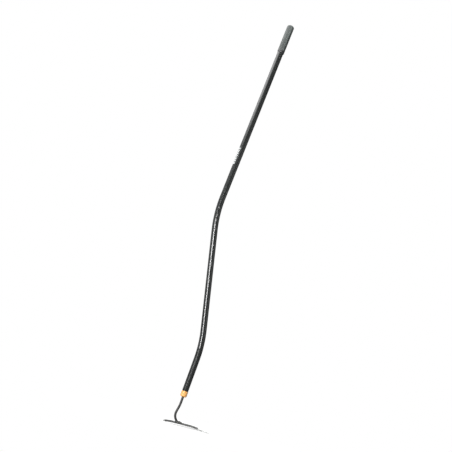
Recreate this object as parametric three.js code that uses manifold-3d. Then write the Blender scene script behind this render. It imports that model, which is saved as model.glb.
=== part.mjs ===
// Long-handled hand cultivator: an S-bent steel tube handle with a short soft
// grip on top, and a small two-sided head on a goose-neck rod below.  One side
// of the head is a ground hoe blade, the other side is three short tines.
//
// Units are millimetres, +Z up.  The origin is on the flat underside of the
// head, directly below the foot of the neck rod.  +X points to the cutting
// edge, -X to the tines, and the whole tool is symmetric about the XZ plane.

import * as THREE from 'three';
import { mergeVertices } from 'three/addons/utils/BufferGeometryUtils.js';
import Module from 'manifold-3d';

const wasm = await Module();
wasm.setup();

// ---------------------------------------------------------------- dimensions
const GAP = 0.3;                     // clearance between neighbouring pieces
const DEG = Math.PI / 180;

// facets round each kind of piece
const FACETS = 28;
const ROD_FACETS = 20;
const PIN_FACETS = 16;
const COLLAR_FACETS = 32;
const SLEEVE_FACETS = 48;

// handle centreline; points are [x, z]
const LOW_LEAN = 5.655;              // degrees from vertical, towards +X
const TOP_LEAN = 7.2;
const BEND_LOW = [10.8, 290.9];      // corner points of the centreline
const BEND_HIGH = [-57.4, 764.4];
const BEND_RADIUS = 450;
const BEND_STEPS = 6;
const FERRULE_FOOT_Z = 95.3;         // underside of the ferrule, on the axis
const TIP_LENGTH = 749.0;            // from the upper corner to the grip's tip

// handle tube
const TUBE_OD = 22.4;                // over its coating
const TUBE_WALL = 1.2;
const TUBE_R = TUBE_OD / 2;
const BORE_R = TUBE_R - TUBE_WALL;
const TUBE_TOP_BELOW_TIP = 9.6;

// ferrule, bushing and retaining pin
const FERRULE_LENGTH = 21.5;         // the part that shows below the tube
const FERRULE_R = 11.8;
const FERRULE_FILLET = 5.5;
const FERRULE_MOUTH = 0.8;           // chamfer where the rod enters
const FERRULE_CHAMFER = 0.6;
const SPIGOT_LENGTH = 20;
const SPIGOT_R = BORE_R - GAP;
const LEAD_IN = 1;                   // chamfer on parts pushed into the tube
const BUSHING_LENGTH = 40;
const PIN_D = 4;
const PIN_CHAMFER = 0.5;
const PIN_RECESS = 0.1;              // pin ends below the tube's surface

// neck rod
const ROD_D = 8.4;                   // over its coating
const ROD_CLEAR_R = ROD_D / 2 + GAP;
const TANG_REACH = 96;               // from the ferrule's foot up into the tube
const NECK_LEAN = 15;                // lean of the neck's straight part
const KNEE_R = 110;                  // easy bend below the ferrule
const KNEE_STEPS = 5;
const NECK_BEND_R = 33;              // goose-neck bend
const NECK_BEND_STEPS = 9;
const NECK_VERTICAL = [-19.6, 31];   // where the goose-neck runs vertical
const FOOT_ANGLE = 55;               // final direction, degrees from straight down
const FOOT_RUN = 14;                 // straight foot before it is trimmed at the head

// head
const PLATE = 3.2;                   // plate thickness
const HEAD_REAR = -55.7;             // tine tips
const HEAD_FRONT = 113.4;            // cutting edge
const FLAT_REAR = -20;               // flat middle of the head
const FLAT_FRONT = 32;
const REAR_BOW = 350;                // drop is (distance past the flat)^2 / bow
const FRONT_BOW = 520;
const BLADE_STRAIGHT = 66;           // from here the blade runs straight to its edge
const BLADE_SLOPE = 0.095;
const GRIND_START = 71.2;            // the ground bevel starts here
const EDGE_THICKNESS = 0.6;
const BLADE_HALF = 38;               // half widths
const TINE_HALF = 35;

// weld bead
const BEAD_RADII = [15.4, 8, 5.2];   // along X, Y and Z
const BEAD_FORWARD = 4.6;            // bead's centre ahead of the rod's foot

// grip
const GRIP_OD = 26.4;                // over the corners of its six soft flats
const GRIP_R = GRIP_OD / 2;
const GRIP_BORE_R = TUBE_R + GAP;
const GRIP_FLAT = 0.9;               // how far the flats lie inside the corners
const FLATS_START = 1;               // above the collar
const FLATS_RUN_OUT = 8;             // height over which they reach full depth
const GRIP_LENGTH = 110.8;           // tip to the middle of the lower rim
const GRIP_DOME = 10;
const COLLAR_LENGTH = 8.6;
const COLLAR_BELOW = 3;              // extra length trimmed by the slanted cut
const COLLAR_CHAMFER = 0.4;
const COLLAR_SKEW = 9.3;             // slant of the lower rim, degrees

// end plug; heights are above the grip's lower rim
const PLUG_BASE = GRIP_LENGTH - TUBE_TOP_BELOW_TIP;   // the tube's cut end
const PLUG_TOP = PLUG_BASE + 2.6;    // top of the flange
const PLUG_CHAMFER = 0.8;
const PLUG_DEPTH = 14;               // skirt below the tube's cut end
const PLUG_WALL = 2.2;
const PLUG_WEB_DEPTH = 1.5;          // underside of the web, below the cut end

// ---------------------------------------------------------------- materials
const standard = (settings) => new THREE.MeshStandardMaterial(settings);
const powderBlack = () => standard({ color: 0x1d1f1f, roughness: 0.32, metalness: 0.1 });
const softGrey = () => standard({ color: 0x6f7673, roughness: 0.75, metalness: 0 });
const blackPlastic = () => standard({ color: 0x17181a, roughness: 0.5, metalness: 0 });
const amberPlastic = () => standard({ color: 0xf0a830, roughness: 0.4, metalness: 0 });
const naturalPlastic = () => standard({ color: 0xcfcabc, roughness: 0.6, metalness: 0 });
const springSteel = () => standard({ color: 0x8d9092, roughness: 0.35, metalness: 0.9 });
const darkSteel = () => standard({ color: 0x3a3b3a, roughness: 0.45, metalness: 0.5 });
const weldMetal = () => standard({ color: 0x4a4a48, roughness: 0.55, metalness: 0.6 });

// ---------------------------------------------------------------- solids
function signedVolume(geometry) {
  const { position } = geometry.attributes;
  const { index } = geometry;
  const [a, b, c] = [new THREE.Vector3(), new THREE.Vector3(), new THREE.Vector3()];
  let volume = 0;
  for (let k = 0; k < index.count; k += 3) {
    a.fromBufferAttribute(position, index.getX(k));
    b.fromBufferAttribute(position, index.getX(k + 1));
    c.fromBufferAttribute(position, index.getX(k + 2));
    volume += a.dot(b.cross(c)) / 6;
  }
  return volume;
}

// Merge shared vertices, drop empty triangles, and turn the faces outwards.
function closed(geometry) {
  const bare = geometry.clone();
  bare.deleteAttribute('normal');
  bare.deleteAttribute('uv');
  const merged = mergeVertices(bare, 1e-4);
  const corners = merged.index.array;
  const kept = [];
  for (let k = 0; k < corners.length; k += 3) {
    const [a, b, c] = corners.slice(k, k + 3);
    if (a !== b && b !== c && c !== a) kept.push(a, b, c);
  }
  merged.setIndex(kept);
  if (signedVolume(merged) < 0) {
    for (let k = 0; k < kept.length; k += 3) {
      [kept[k + 1], kept[k + 2]] = [kept[k + 2], kept[k + 1]];
    }
    merged.setIndex(kept);
  }
  return merged;
}

function solid(geometry, matrix) {
  const shell = closed(geometry);
  if (matrix) shell.applyMatrix4(matrix);
  return new wasm.Manifold(new wasm.Mesh({
    numProp: 3,
    vertProperties: Float32Array.from(shell.attributes.position.array),
    triVerts: Uint32Array.from(shell.index.array),
  }));
}

function geometryOf(body) {
  const { vertProperties, triVerts } = body.getMesh();
  const geometry = new THREE.BufferGeometry();
  const position = new THREE.BufferAttribute(Float32Array.from(vertProperties), 3);
  geometry.setAttribute('position', position);
  geometry.setIndex(Array.from(triVerts));
  return geometry;
}

function piece(name, geometry, material) {
  geometry.computeVertexNormals();
  const mesh = new THREE.Mesh(geometry, material);
  mesh.name = name;
  return mesh;
}

// Revolve [radius, height] points about Z.
function revolve(profile, facets = FACETS) {
  const points = profile.map(([radius, z]) => new THREE.Vector2(radius, z));
  const geometry = new THREE.LatheGeometry(points, facets);
  geometry.rotateX(Math.PI / 2);
  return closed(geometry);
}

// Revolve a profile that returns to its first point.
const revolveLoop = (profile, facets) => revolve([...profile, profile[0]], facets);

// [radius, height] points of a quarter ellipse; `from` is in degrees.
function quarterArc({ centre, radii, from, steps }) {
  return Array.from({ length: steps + 1 }, (_, k) => {
    const angle = (from + 90 * k / steps) * DEG;
    return [centre[0] + radii[0] * Math.cos(angle), centre[1] + radii[1] * Math.sin(angle)];
  });
}

// ---------------------------------------------------------------- centrelines
// A curve in the XZ plane, sampled only at its stations, so that a straight
// run is one step and an arc is several.
class Centreline extends THREE.Curve {
  constructor(stations) {            // [[x, z, tangent x, tangent z], ...]
    super();
    this.stations = stations;
  }

  get steps() {
    return this.stations.length - 1;
  }

  stationAt(u) {
    return this.stations[Math.round(u * this.steps)];
  }

  getPointAt(u, target = new THREE.Vector3()) {
    const [x, z] = this.stationAt(u);
    return target.set(x, 0, z);
  }

  getTangentAt(u, target = new THREE.Vector3()) {
    const [, , x, z] = this.stationAt(u);
    return target.set(x, 0, z);
  }
}

const along = (point, dir, distance) => [
  point[0] + dir[0] * distance,
  point[1] + dir[1] * distance,
];

function directionTo(from, to) {
  const dx = to[0] - from[0];
  const dz = to[1] - from[1];
  const length = Math.hypot(dx, dz);
  return [dx / length, dz / length];
}

function rotated([x, z], angle) {
  const cos = Math.cos(angle);
  const sin = Math.sin(angle);
  return [x * cos - z * sin, x * sin + z * cos];
}

// A centreline from start to end, rounded at each corner { at, radius, steps }.
function filleted(start, corners, end) {
  const points = [start, ...corners.map((corner) => corner.at), end];
  const stations = [[...start, ...directionTo(start, points[1])]];
  corners.forEach(({ at, radius, steps }, k) => {
    const dirIn = directionTo(points[k], at);
    const dirOut = directionTo(at, points[k + 2]);
    const turn = Math.atan2(
      dirIn[0] * dirOut[1] - dirIn[1] * dirOut[0],
      dirIn[0] * dirOut[0] + dirIn[1] * dirOut[1],
    );
    const arcStart = along(at, dirIn, -radius * Math.tan(Math.abs(turn) / 2));
    const centre = along(arcStart, [-dirIn[1], dirIn[0]], radius * Math.sign(turn));
    const spoke = [arcStart[0] - centre[0], arcStart[1] - centre[1]];
    for (let j = 0; j <= steps; j++) {
      const angle = turn * j / steps;
      stations.push([...along(centre, rotated(spoke, angle), 1), ...rotated(dirIn, angle)]);
    }
  });
  stations.push([...end, ...directionTo(points.at(-2), end)]);
  return new Centreline(stations);
}

// Sweep a disc, or a ring when there is an inner radius, along a centreline.
function sweep(centreline, { outer, inner, facets }) {
  const section = new THREE.Shape();
  section.absarc(0, 0, outer, 0, 2 * Math.PI, false);
  if (inner) {
    const hole = new THREE.Path();
    hole.absarc(0, 0, inner, 0, 2 * Math.PI, true);
    section.holes.push(hole);
  }
  return closed(new THREE.ExtrudeGeometry(section, {
    steps: centreline.steps,
    extrudePath: centreline,
    curveSegments: facets / 2,
    bevelEnabled: false,
  }));
}

// ---------------------------------------------------------------- axes
const leaning = (degrees) => [Math.sin(degrees * DEG), Math.cos(degrees * DEG)];
const lowDir = leaning(LOW_LEAN);
const topDir = leaning(TOP_LEAN);
const lowSlope = lowDir[0] / lowDir[1];
const ferruleFoot = [
  BEND_LOW[0] + (FERRULE_FOOT_Z - BEND_LOW[1]) * lowSlope,
  FERRULE_FOOT_Z,
];
const gripTip = along(BEND_HIGH, topDir, TIP_LENGTH);
const gripRim = along(gripTip, topDir, -GRIP_LENGTH);

function leaningGroup([x, z], lean) {
  const group = new THREE.Group();
  group.position.set(x, 0, z);
  group.rotation.y = lean * DEG;
  return group;
}

// Z runs up the axis of the lower handle, from the ferrule's foot.
const lowerEnd = leaningGroup(ferruleFoot, LOW_LEAN);
lowerEnd.updateMatrixWorld(true);

// Z runs up the axis of the grip, from its lower rim.
const upperEnd = leaningGroup(gripRim, TOP_LEAN);

// Heights in the lower end's frame.
const SPIGOT_TOP = FERRULE_LENGTH + SPIGOT_LENGTH;
const BUSHING_FOOT = SPIGOT_TOP + GAP;
const BUSHING_TOP = BUSHING_FOOT + BUSHING_LENGTH;
const PIN_HEIGHT = BUSHING_FOOT + BUSHING_LENGTH / 2;

// ---------------------------------------------------------------- retaining pin
// The pin lies across the handle, in the XZ plane.
function makeRetainingPin() {
  const end = TUBE_R - PIN_RECESS;
  const radius = PIN_D / 2;
  const pin = piece('retaining_pin', revolve([
    [0, -end],
    [radius - PIN_CHAMFER, -end],
    [radius, -end + PIN_CHAMFER],
    [radius, end - PIN_CHAMFER],
    [radius - PIN_CHAMFER, end],
    [0, end],
  ], PIN_FACETS), springSteel());
  pin.rotation.y = Math.PI / 2;
  pin.position.set(0, 0, PIN_HEIGHT);
  return pin;
}

// The hole for the pin, in the lower end's frame or moved by a matrix.
function pinHole(matrix) {
  const radius = PIN_D / 2 + GAP;
  const cutter = new THREE.CylinderGeometry(radius, radius, TUBE_OD + 8, PIN_FACETS);
  cutter.rotateZ(Math.PI / 2);
  cutter.translate(0, 0, PIN_HEIGHT);
  return solid(cutter, matrix);
}

// ---------------------------------------------------------------- handle tube
function makeHandleTube() {
  const line = filleted(
    along(ferruleFoot, lowDir, FERRULE_LENGTH),
    [BEND_LOW, BEND_HIGH].map((at) => ({ at, radius: BEND_RADIUS, steps: BEND_STEPS })),
    along(gripTip, topDir, -TUBE_TOP_BELOW_TIP),
  );
  const tube = solid(sweep(line, { outer: TUBE_R, inner: BORE_R, facets: FACETS }))
    .subtract(pinHole(lowerEnd.matrixWorld));
  return piece('handle_tube', geometryOf(tube), powderBlack());
}

// ---------------------------------------------------------------- ferrule
function makeFerrule() {
  const shoulder = FERRULE_LENGTH - GAP;
  return piece('ferrule', revolveLoop([
    [ROD_CLEAR_R, FERRULE_MOUTH],
    [ROD_CLEAR_R + FERRULE_MOUTH, 0],
    ...quarterArc({
      centre: [FERRULE_R - FERRULE_FILLET, FERRULE_FILLET],
      radii: [FERRULE_FILLET, FERRULE_FILLET],
      from: -90,
      steps: 5,
    }),
    [FERRULE_R, shoulder - FERRULE_CHAMFER],
    [FERRULE_R - FERRULE_CHAMFER, shoulder],
    [SPIGOT_R, shoulder],
    [SPIGOT_R, SPIGOT_TOP - LEAD_IN],
    [SPIGOT_R - LEAD_IN, SPIGOT_TOP],
    [ROD_CLEAR_R, SPIGOT_TOP],
  ]), amberPlastic());
}

// ---------------------------------------------------------------- tang bushing
function makeTangBushing() {
  const bushing = solid(revolveLoop([
    [ROD_CLEAR_R, BUSHING_FOOT],
    [SPIGOT_R, BUSHING_FOOT],
    [SPIGOT_R, BUSHING_TOP - LEAD_IN],
    [SPIGOT_R - LEAD_IN, BUSHING_TOP],
    [ROD_CLEAR_R, BUSHING_TOP],
  ])).subtract(pinHole());
  return piece('tang_bushing', geometryOf(bushing), naturalPlastic());
}

// ---------------------------------------------------------------- neck rod
// Down the handle's axis, a slight set to the rear, then the goose-neck
// forward and down on to the middle of the head.
const neckDir = leaning(NECK_LEAN);
const footDir = [Math.sin(FOOT_ANGLE * DEG), -Math.cos(FOOT_ANGLE * DEG)];
const bendCentre = [NECK_VERTICAL[0] + NECK_BEND_R, NECK_VERTICAL[1]];
const bendStart = along(bendCentre, [-neckDir[1], neckDir[0]], NECK_BEND_R);
const bendEnd = along(bendCentre, [footDir[1], -footDir[0]], NECK_BEND_R);
const footEnd = along(bendEnd, footDir, FOOT_RUN);

const bendTangentLength = NECK_BEND_R * Math.tan((NECK_LEAN + FOOT_ANGLE) * DEG / 2);
const gooseNeck = {
  at: along(bendStart, neckDir, -bendTangentLength),
  radius: NECK_BEND_R,
  steps: NECK_BEND_STEPS,
};

// Where the neck's straight part meets the handle's axis.
function kneeCorner() {
  const neckSlope = neckDir[0] / neckDir[1];
  const neckX = bendStart[0] - neckSlope * bendStart[1];      // both lines at z = 0
  const handleX = ferruleFoot[0] - lowSlope * ferruleFoot[1];
  const z = (neckX - handleX) / (lowSlope - neckSlope);
  return [handleX + lowSlope * z, z];
}

// Everything near the head up to a clearance above its flat top.
function belowPlateTop() {
  const box = new THREE.BoxGeometry(80, 80, 40);
  box.translate(0, 0, PLATE + GAP - 20);
  return solid(box);
}

function makeNeckRod() {
  const line = filleted(
    along(ferruleFoot, lowDir, TANG_REACH),
    [{ at: kneeCorner(), radius: KNEE_R, steps: KNEE_STEPS }, gooseNeck],
    footEnd,
  );
  const rod = solid(sweep(line, { outer: ROD_D / 2, facets: ROD_FACETS }))
    .subtract(belowPlateTop())
    .subtract(pinHole(lowerEnd.matrixWorld));
  return piece('neck_rod', geometryOf(rod), darkSteel());
}

// ---------------------------------------------------------------- head
// How far the underside lies below the flat middle: the head bows down
// slightly to both ends.
function drop(x) {
  if (x < FLAT_REAR) return (x - FLAT_REAR) ** 2 / REAR_BOW;
  if (x <= FLAT_FRONT) return 0;
  const bowed = (Math.min(x, BLADE_STRAIGHT) - FLAT_FRONT) ** 2 / FRONT_BOW;
  return bowed + BLADE_SLOPE * Math.max(0, x - BLADE_STRAIGHT);
}

function thickness(x) {
  const ground = Math.max(0, (x - GRIND_START) / (HEAD_FRONT - GRIND_START));
  return PLATE + (EDGE_THICKNESS - PLATE) * ground;
}

// X of the side profile's points; the end ones lie outside the plan outline.
const PROFILE_X = [
  -60, -56, -52, -48, -44, -40, -36, -32, -28, -24, FLAT_REAR,
  FLAT_FRONT, 38, 44, 50, 55, 60, BLADE_STRAIGHT, GRIND_START, HEAD_FRONT, 115,
];

// The bowed side profile, carried across more than the head's width.
function headSlab() {
  const halfWidth = 50;
  const underside = PROFILE_X.map((x) => new THREE.Vector2(x, -drop(x)));
  const top = PROFILE_X.map((x) => new THREE.Vector2(x, -drop(x) + thickness(x)));
  const profile = new THREE.Shape([...underside, ...top.reverse()]);
  const slab = new THREE.ExtrudeGeometry(profile, { depth: 2 * halfWidth, bevelEnabled: false });
  slab.rotateX(Math.PI / 2);         // profile's height becomes Z, depth runs to -Y
  slab.translate(0, halfWidth, 0);
  return solid(slab);
}

// Plan outline of the +Y half, from the cutting edge to the middle tine's tip.
// Each row is one line or curve: its control points, if any, then its end, as [x, y].
const PLAN_START = [HEAD_FRONT, 0];
const HALF_PLAN = [
  // cutting edge, its corner and the blade's side
  [[HEAD_FRONT - 0.2, BLADE_HALF - 18], [HEAD_FRONT - 1.4, BLADE_HALF - 4]],
  [[HEAD_FRONT - 1.8, BLADE_HALF], [HEAD_FRONT - 6, BLADE_HALF]],
  [[34, BLADE_HALF - 0.6]],
  // waist
  [[24, BLADE_HALF - 0.9], [18, BLADE_HALF - 5], [8, BLADE_HALF - 6]],
  [[-8, BLADE_HALF - 6.4], [-20, TINE_HALF - 2.4], [HEAD_REAR + 8, TINE_HALF - 0.6]],
  // outer tine's tip
  [[HEAD_REAR + 1, TINE_HALF], [HEAD_REAR, TINE_HALF - 3.6]],
  [[HEAD_REAR + 0.5, TINE_HALF - 7.4], [HEAD_REAR + 6, TINE_HALF - 8.6]],
  // slot and its root
  [[-24, 21.2]],
  [[-17.5, 20.3], [-17.5, 13.3], [-24, 12.4]],
  [[HEAD_REAR + 6, 5.6]],
  // middle tine's tip
  [[HEAD_REAR + 0.4, 4.6], [HEAD_REAR, 0]],
];

// The -Y half: the same rows mirrored and walked back to the cutting edge.
function mirroredHalf() {
  const starts = [PLAN_START, ...HALF_PLAN.map((row) => row.at(-1))];
  return HALF_PLAN
    .map((row, k) => [...row.slice(0, -1).reverse(), starts[k]].map(([x, y]) => [x, -y]))
    .reverse();
}

function planPrism() {
  const drawWith = { 1: 'lineTo', 2: 'quadraticCurveTo', 3: 'bezierCurveTo' };
  const plan = new THREE.Shape();
  plan.moveTo(...PLAN_START);
  for (const row of [...HALF_PLAN, ...mirroredHalf()]) plan[drawWith[row.length]](...row.flat());
  const prism = new THREE.ExtrudeGeometry(plan, {
    depth: 60,
    bevelEnabled: false,
    curveSegments: 5,
  });
  prism.translate(0, 0, -40);
  return solid(prism);
}

function makeHeadPlate() {
  return piece('head_plate', geometryOf(headSlab().intersect(planPrism())), darkSteel());
}

// ---------------------------------------------------------------- weld bead
// A fillet of weld round the slanted foot of the rod, on top of the head.
function makeWeldBead() {
  const footLength = (bendEnd[1] - PLATE - GAP) / Math.cos(FOOT_ANGLE * DEG);
  const footX = along(bendEnd, footDir, footLength)[0];
  const bead = new THREE.SphereGeometry(1, 24, 14);
  bead.rotateX(Math.PI / 2);
  bead.scale(...BEAD_RADII);
  bead.translate(footX + BEAD_FORWARD, 0, PLATE);

  const rodLine = filleted(along(bendStart, neckDir, 5), [gooseNeck], footEnd);
  const body = solid(bead)
    .subtract(belowPlateTop())
    .subtract(solid(sweep(rodLine, { outer: ROD_CLEAR_R, facets: ROD_FACETS })));
  return piece('weld_bead', geometryOf(body), weldMetal());
}

// ---------------------------------------------------------------- grip end
// Press six shallow flats into the outside, one facing each side of the tool;
// they run out to round just above the lower rim.
function pressFlats(geometry) {
  const { position } = geometry.attributes;
  for (let k = 0; k < position.count; k++) {
    const x = position.getX(k);
    const y = position.getY(k);
    const radius = Math.hypot(x, y);
    if (Math.abs(radius - GRIP_BORE_R) < 1e-3) continue;     // the bore stays round
    const rise = (position.getZ(k) - COLLAR_LENGTH - FLATS_START) / FLATS_RUN_OUT;
    const fade = Math.min(1, Math.max(0, rise)) * Math.min(1, radius / GRIP_R);
    const wave = 0.5 + 0.5 * Math.cos(6 * Math.atan2(x, y));
    const shrink = 1 - GRIP_FLAT / GRIP_R * fade * wave;
    position.setXY(k, x * shrink, y * shrink);
  }
}

function makeGripSleeve() {
  const foot = COLLAR_LENGTH + GAP;
  const flatsFoot = COLLAR_LENGTH + FLATS_START;
  const boreTop = PLUG_TOP + GAP;
  const sleeve = revolveLoop([
    [GRIP_BORE_R, foot],
    [GRIP_R, foot],
    [GRIP_R, flatsFoot + FLATS_RUN_OUT / 2],
    [GRIP_R, flatsFoot + FLATS_RUN_OUT],
    ...quarterArc({
      centre: [0, GRIP_LENGTH - GRIP_DOME],
      radii: [GRIP_R, GRIP_DOME],
      from: 0,
      steps: 7,
    }),
    [0, boreTop],
    [GRIP_BORE_R, boreTop],
  ], SLEEVE_FACETS);
  pressFlats(sleeve);
  return piece('grip_sleeve', sleeve, softGrey());
}

// A ring below the sleeve, cut off on a slant at the lower rim.
function makeGripCollar() {
  const rimCut = new THREE.BoxGeometry(60, 60, 30);
  rimCut.translate(0, 0, -15);
  rimCut.rotateY(COLLAR_SKEW * DEG);
  const collar = solid(revolveLoop([
    [GRIP_BORE_R, -COLLAR_BELOW],
    [GRIP_R, -COLLAR_BELOW],
    [GRIP_R, COLLAR_LENGTH - COLLAR_CHAMFER],
    [GRIP_R - COLLAR_CHAMFER, COLLAR_LENGTH],
    [GRIP_BORE_R, COLLAR_LENGTH],
  ], COLLAR_FACETS)).subtract(solid(rimCut));
  return piece('grip_collar', geometryOf(collar), blackPlastic());
}

// A flange over the tube's cut end, with a hollow skirt inside the tube.
function makeEndPlug() {
  const skirtR = BORE_R - GAP;
  const skirtFoot = PLUG_BASE - PLUG_DEPTH;
  const webFoot = PLUG_BASE - PLUG_WEB_DEPTH;
  return piece('end_plug', revolve([
    [0, PLUG_TOP],
    [TUBE_R - PLUG_CHAMFER, PLUG_TOP],
    [TUBE_R, PLUG_TOP - PLUG_CHAMFER],
    [TUBE_R, PLUG_BASE + GAP],
    [skirtR, PLUG_BASE + GAP],
    [skirtR, skirtFoot + LEAD_IN],
    [skirtR - LEAD_IN, skirtFoot],
    [skirtR - PLUG_WALL, skirtFoot],
    [skirtR - PLUG_WALL, webFoot],
    [0, webFoot],
  ]), blackPlastic());
}

// ---------------------------------------------------------------- assembly
const handCultivator = new THREE.Group();
const headEnd = new THREE.Group();
headEnd.add(makeHeadPlate(), makeWeldBead(), makeNeckRod());
lowerEnd.add(makeFerrule(), makeTangBushing(), makeRetainingPin());
upperEnd.add(makeGripSleeve(), makeGripCollar(), makeEndPlug());
handCultivator.add(headEnd, lowerEnd, makeHandleTube(), upperEnd);

export default handCultivator;
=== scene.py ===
from math import atan2, copysign, cos, exp, hypot, pi, radians, remainder, sin, tan

import bpy
import bmesh
import numpy as np
from mathutils import Matrix, Vector, noise
from mathutils.geometry import delaunay_2d_cdt


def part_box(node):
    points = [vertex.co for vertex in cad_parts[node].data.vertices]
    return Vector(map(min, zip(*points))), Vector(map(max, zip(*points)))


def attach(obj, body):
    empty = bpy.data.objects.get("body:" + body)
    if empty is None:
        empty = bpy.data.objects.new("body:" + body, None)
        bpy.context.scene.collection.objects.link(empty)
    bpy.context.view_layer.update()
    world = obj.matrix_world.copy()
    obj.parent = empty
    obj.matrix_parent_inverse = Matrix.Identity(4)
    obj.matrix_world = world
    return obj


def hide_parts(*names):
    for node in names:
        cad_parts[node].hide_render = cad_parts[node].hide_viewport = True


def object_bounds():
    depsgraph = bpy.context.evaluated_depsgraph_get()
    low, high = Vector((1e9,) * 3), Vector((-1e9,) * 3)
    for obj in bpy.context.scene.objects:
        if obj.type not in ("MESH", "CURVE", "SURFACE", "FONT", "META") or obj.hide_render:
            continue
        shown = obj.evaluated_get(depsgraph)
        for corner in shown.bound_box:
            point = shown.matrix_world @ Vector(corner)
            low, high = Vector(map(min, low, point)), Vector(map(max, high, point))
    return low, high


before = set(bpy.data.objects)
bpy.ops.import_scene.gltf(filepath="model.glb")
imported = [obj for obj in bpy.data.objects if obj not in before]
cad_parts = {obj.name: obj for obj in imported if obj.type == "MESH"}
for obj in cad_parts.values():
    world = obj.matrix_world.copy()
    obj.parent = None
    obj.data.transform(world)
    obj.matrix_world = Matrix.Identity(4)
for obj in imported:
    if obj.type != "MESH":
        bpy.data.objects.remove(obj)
cad_lo, cad_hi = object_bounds()
ROOT = "root"
MM = 0.001

# ---------------------------------------------------------------- sizes in millimetres
GAP = 0.3                         # clearance between neighbouring pieces

# handle line: leans in degrees from upright towards +X, bends as (x, z)
LOW_LEAN = 5.655
TOP_LEAN = 7.2
BEND_LOW = (10.8, 290.9)
BEND_HIGH = (-57.4, 764.4)
BEND_R = 450.0
TIP_LENGTH = 749.0                # from the high bend to the tip of the grip

TUBE_R = 11.2
TUBE_WALL = 1.2
TUBE_TOP_BELOW_TIP = 9.6

FERRULE_FOOT_Z = 95.3
FERRULE_LEN = 21.5
FERRULE_R = 11.8
FERRULE_FILLET = 5.5
SPIGOT = 20.0                     # length of the ferrule inside the tube

ROD_R = 4.2
TANG_REACH = 96.0                 # the rod's reach above the ferrule's foot
NECK_LEAN = 15.0                  # degrees
KNEE_R = 110.0
NECK_R = 33.0
FOOT_ANGLE = 55.0                 # degrees from straight down towards +X
NECK_VERTICAL = (-19.6, 31.0)     # where the neck bend runs straight down, (x, z)

PLATE = 3.2                       # plate thickness
HEAD_REAR, HEAD_FRONT = -55.7, 113.4
FLAT_REAR, FLAT_FRONT = -20.0, 32.0
BLADE_STRAIGHT = 66.0             # the blade slopes evenly from here on
REAR_CURVE, FRONT_CURVE = 350.0, 520.0   # divisors of the parabolas beyond the flat
BLADE_SLOPE = 0.095
GRIND_START = 71.2
EDGE_T = 0.6                      # thickness of the front edge
EDGE_ROUND = 0.75
BLADE_HALF = 38.0
TINE_HALF = 35.0

GRIP_R = 13.2
GRIP_FLAT = 0.9                   # depth of the six flats
GRIP_LEN = 110.8
GRIP_DOME = 10.0
GROOVES = 18
GROOVE_DEPTH = 0.30
COLLAR_LEN = 8.6
COLLAR_SKEW = 9.3                 # slant of the collar's lower rim, degrees


# ---------------------------------------------------------------- points and curves
def clamp(value):
    return min(1.0, max(0.0, value))


def leaning(lean):
    return (sin(radians(lean)), cos(radians(lean)))


def along(point, direction, distance):
    return (point[0] + direction[0] * distance, point[1] + direction[1] * distance)


def station(origin, direction, distance):
    """(x, z, direction x, direction z) at a distance along an axis."""
    return (*along(origin, direction, distance), *direction)


def line(start, end, count):
    """Points after start up to end."""
    return [(start[0] + (end[0] - start[0]) * k / count, start[1] + (end[1] - start[1]) * k / count)
            for k in range(1, count + 1)]


def quadratic(start, pull, end, count):
    points = []
    for k in range(1, count + 1):
        t = k / count
        points.append(tuple((1 - t) ** 2 * start[i] + 2 * t * (1 - t) * pull[i] + t * t * end[i]
                            for i in (0, 1)))
    return points


def cubic(start, pull_a, pull_b, end, count):
    points = []
    for k in range(1, count + 1):
        t = k / count
        u = 1 - t
        points.append(tuple(u ** 3 * start[i] + 3 * u * u * t * pull_a[i]
                            + 3 * u * t * t * pull_b[i] + t ** 3 * end[i] for i in (0, 1)))
    return points


def arc(centre, radius, first, last, count):
    """count + 1 points from one angle to another, in degrees."""
    turns = [radians(first + (last - first) * k / count) for k in range(count + 1)]
    return [(centre[0] + radius * cos(a), centre[1] + radius * sin(a)) for a in turns]


def filleted(points, arc_step, line_step):
    """Stations (x, z, direction x, direction z, run) of a polyline of (x, z, corner radius)."""
    def unit(a, b):
        length = hypot(b[0] - a[0], b[1] - a[1])
        return ((b[0] - a[0]) / length, (b[1] - a[1]) / length)

    def turned(vector, angle):
        c, s = cos(angle), sin(angle)
        return (vector[0] * c - vector[1] * s, vector[0] * s + vector[1] * c)

    cursor = points[0][:2]
    stations = [(*cursor, *unit(points[0], points[1]))]
    for k, corner in enumerate(points[1:], 1):
        heading = unit(points[k - 1], corner)
        turn = setback = 0.0
        if k < len(points) - 1:
            after = unit(corner, points[k + 1])
            turn = atan2(heading[0] * after[1] - heading[1] * after[0],
                         heading[0] * after[0] + heading[1] * after[1])
            setback = corner[2] * tan(abs(turn) / 2)
        end = along(corner, heading, -setback)
        length = hypot(end[0] - cursor[0], end[1] - cursor[1])
        count = max(1, round(length / line_step))
        stations += [(*point, *heading) for point in line(cursor, end, count)]
        if setback:
            reach = corner[2] * copysign(1, turn)
            spoke = (heading[1] * reach, -heading[0] * reach)
            centre = (end[0] - spoke[0], end[1] - spoke[1])
            count = max(2, round(abs(turn) * corner[2] / arc_step))
            for j in range(1, count + 1):
                angle = turn * j / count
                x, z = turned(spoke, angle)
                stations.append((centre[0] + x, centre[1] + z, *turned(heading, angle)))
            cursor = stations[-1][:2]
    run, full = 0.0, []
    for before, here in zip(stations[:1] + stations, stations):
        run += hypot(here[0] - before[0], here[1] - before[1])
        full.append((*here, run))
    return full


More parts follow.
